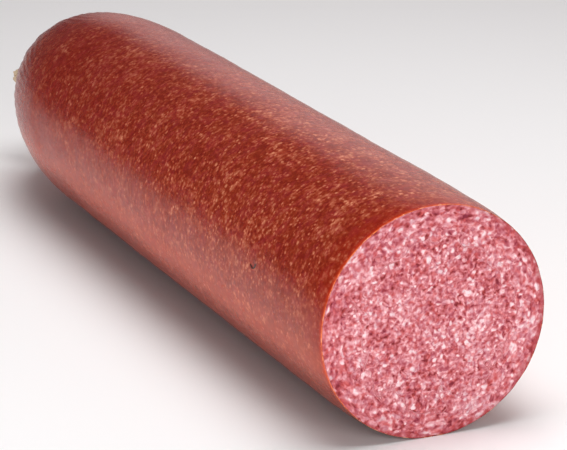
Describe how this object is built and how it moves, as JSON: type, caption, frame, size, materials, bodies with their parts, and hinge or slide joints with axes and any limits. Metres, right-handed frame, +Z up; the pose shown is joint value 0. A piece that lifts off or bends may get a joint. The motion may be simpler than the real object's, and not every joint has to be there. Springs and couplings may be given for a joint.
{
  "type": "cured sausage",
  "caption": "Large-calibre fine-ground cured sausage on its side, cut across at one end to show the mince, and gathered, clipped and rounded at the other.",
  "frame": {"origin": "middle of the bounding box in X and Y, on the surface that the sausage rests on", "axes": "+X along the log towards the cut face, -X towards the clipped end, +Y across, +Z up"},
  "size_m": [0.415, 0.0922, 0.0893],
  "materials": {
    "casing": "smoked deep red-brown skin, thin and slightly translucent, glossy, freckled with orange-tan fat",
    "filling": "moist cut face of fine rose-red mince full of pale fat grains",
    "clip": "plain pressed wire, satin"
  },
  "bodies": {
    "root": {"casing": "casing", "filling": "filling", "clip": "clip"}
  },
  "joints": []
}
